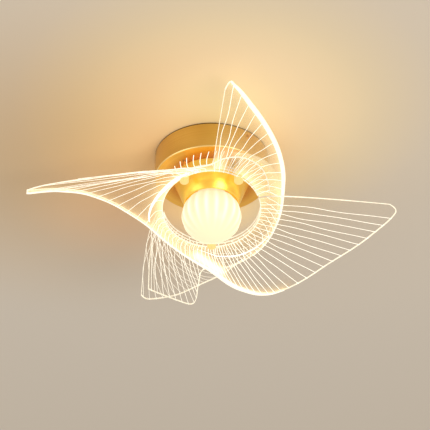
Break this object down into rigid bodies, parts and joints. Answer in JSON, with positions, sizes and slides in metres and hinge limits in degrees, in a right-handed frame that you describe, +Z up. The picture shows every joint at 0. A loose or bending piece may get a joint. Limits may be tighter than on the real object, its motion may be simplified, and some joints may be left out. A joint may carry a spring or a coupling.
{
  "type": "led ceiling light",
  "caption": "Ceiling light with a round brass canopy, a brass bell, a ribbed opal globe and engraved acrylic sheets that swirl round it with lit edges.",
  "frame": {"origin": "on the ceiling plane at the lamp's axis, on the bracket's upper face", "axes": "+Z up into the ceiling; the fin's horn points to -Y and the swoosh's two horns to -X and +X"},
  "size_m": [0.5038, 0.3821, 0.144],
  "materials": {
    "steel": "zinc plated",
    "brass": "satin brushed and lacquered",
    "terminal_plastic": "moulded",
    "driver_plastic": "moulded, fine grain",
    "ceramic": "glazed ceramic",
    "bulb_plastic": "frosted",
    "opal_glass": "opal, mould-blown with ribs, lit",
    "clear_acrylic": "clear cast acrylic with engraved lines",
    "led_tape": "flexible circuit",
    "lit_silicone": "frosted silicone, lit"
  },
  "bodies": {
    "lamp": {"ceiling_bracket": "steel", "canopy": "brass", "side_screws": "brass", "earth_screw": "brass", "terminal_block": "terminal_plastic", "driver_case": "driver_plastic", "driver_cover": "driver_plastic", "driver_screws": "steel", "nipple": "steel", "nipple_nuts": "steel", "bell": "brass", "fitter_cup": "brass", "lampholder": "ceramic", "bulb_base": "ceramic", "bulb_cap": "bulb_plastic", "carrier_left": "clear_acrylic", "carrier_right": "clear_acrylic", "carrier_back": "clear_acrylic", "carrier_screws": "steel", "clamp_washers": "clear_acrylic", "clamp_screws": "clear_acrylic", "swoosh_sheet": "clear_acrylic", "fin_sheet": "clear_acrylic", "tail_sheet": "clear_acrylic", "swoosh_tape": "led_tape", "fin_tape": "led_tape", "tail_tape": "led_tape", "swoosh_glow": "lit_silicone", "fin_glow": "lit_silicone", "tail_glow": "lit_silicone"},
    "collar": {"globe_collar": "brass"},
    "globe": {"glass_globe": "opal_glass"}
  },
  "joints": [
    {"name": "collar_drop", "type": "slide", "parent": "lamp", "child": "collar", "axis": [0, 0, -1], "range_m": [0, 0.0045]},
    {"name": "globe_turn", "type": "hinge", "parent": "collar", "child": "globe", "pos_m": [0, 0, -0.098], "axis": [0, 0, -1], "range_deg": [0, 540]}
  ],
  "couplings": [
    {"joint": "collar_drop", "follows": "globe_turn", "m_per_rad": 0.00047746}
  ]
}
